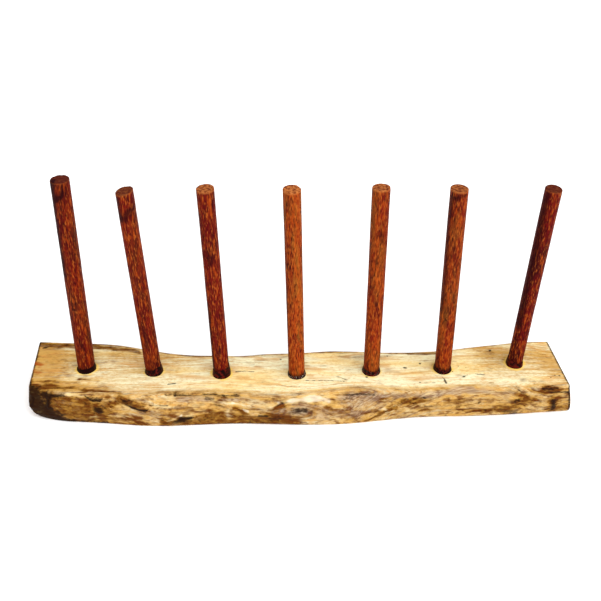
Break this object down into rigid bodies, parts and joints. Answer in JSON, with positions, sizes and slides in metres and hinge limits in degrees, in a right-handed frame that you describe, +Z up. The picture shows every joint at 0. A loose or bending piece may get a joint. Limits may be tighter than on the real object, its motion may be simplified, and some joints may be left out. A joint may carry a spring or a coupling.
{
  "type": "mug tree",
  "caption": "Long live-edge wooden slab with a row of upright round wooden pegs glued into its top, for mugs to hang on or dry over.",
  "frame": {"origin": "on the underside, at the middle of the object's outline seen from above", "axes": "+X along the slab and the row of pegs, +Y towards the back edge, +Z up along the pegs"},
  "size_m": [0.4345, 0.0734, 0.1951],
  "materials": {
    "slab_wood": "pale figured hardwood, oiled satin, darker weathered natural edges",
    "peg_wood": "red-brown open-grained dowel, oiled satin",
    "glue": "hardened dark wood glue, glossy"
  },
  "bodies": {
    "root": {"slab": "slab_wood", "peg_1": "peg_wood", "peg_2": "peg_wood", "peg_3": "peg_wood", "peg_4": "peg_wood", "peg_5": "peg_wood", "peg_6": "peg_wood", "peg_7": "peg_wood", "glue_1": "glue", "glue_2": "glue", "glue_3": "glue", "glue_4": "glue", "glue_5": "glue", "glue_6": "glue", "glue_7": "glue"}
  },
  "joints": []
}
